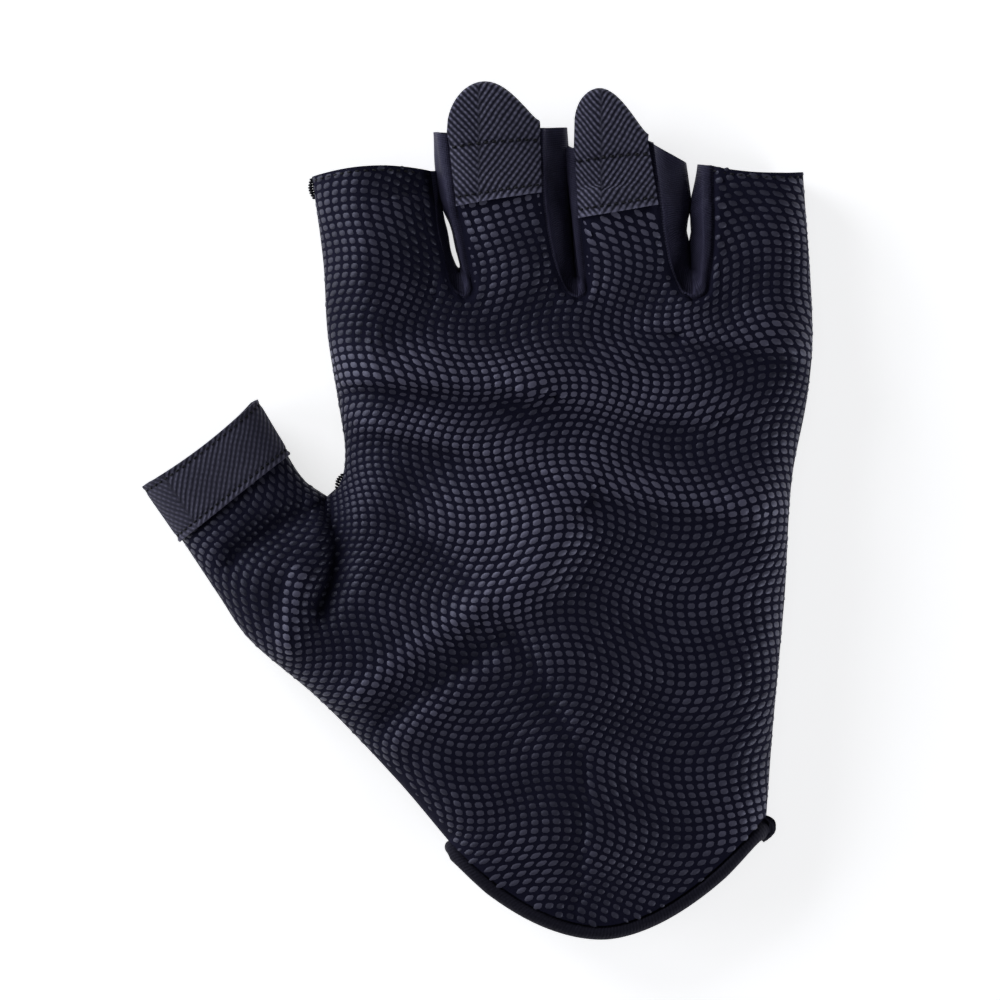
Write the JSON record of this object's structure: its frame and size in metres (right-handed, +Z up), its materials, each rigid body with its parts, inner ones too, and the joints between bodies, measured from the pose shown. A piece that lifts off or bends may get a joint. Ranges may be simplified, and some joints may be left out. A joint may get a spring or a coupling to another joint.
{
  "type": "short-finger fitness glove",
  "caption": "Left short-finger training glove lying palm up, with gripping palm cloth, stretch side walls, tape pull tabs and a bound curved wrist.",
  "frame": {"origin": "middle of the plan's bounding box, on the surface that the glove lies on", "axes": "+X across the palm towards the little finger, +Y towards the fingertips, +Z up out of the palm"},
  "size_m": [0.1406, 0.1801, 0.0239],
  "materials": {
    "palm_cloth": "matt napped synthetic leather",
    "grip_dots": "satin raised print",
    "back_knit": "fine stretch knit",
    "side_stretch": "smooth stretch knit with a faint sheen",
    "twill_tape": "herringbone twill tape",
    "binding": "folded stretch binding",
    "thread": "twisted sewing thread"
  },
  "bodies": {
    "root": {"palm_panel": "palm_cloth", "back_panel": "back_knit", "fourchette_index_middle": "side_stretch", "fourchette_middle_ring": "side_stretch", "fourchette_ring_little": "side_stretch", "pull_tab_middle": "twill_tape", "pull_tab_ring": "twill_tape", "thumb_band": "twill_tape", "wrist_binding": "binding"}
  },
  "joints": []
}
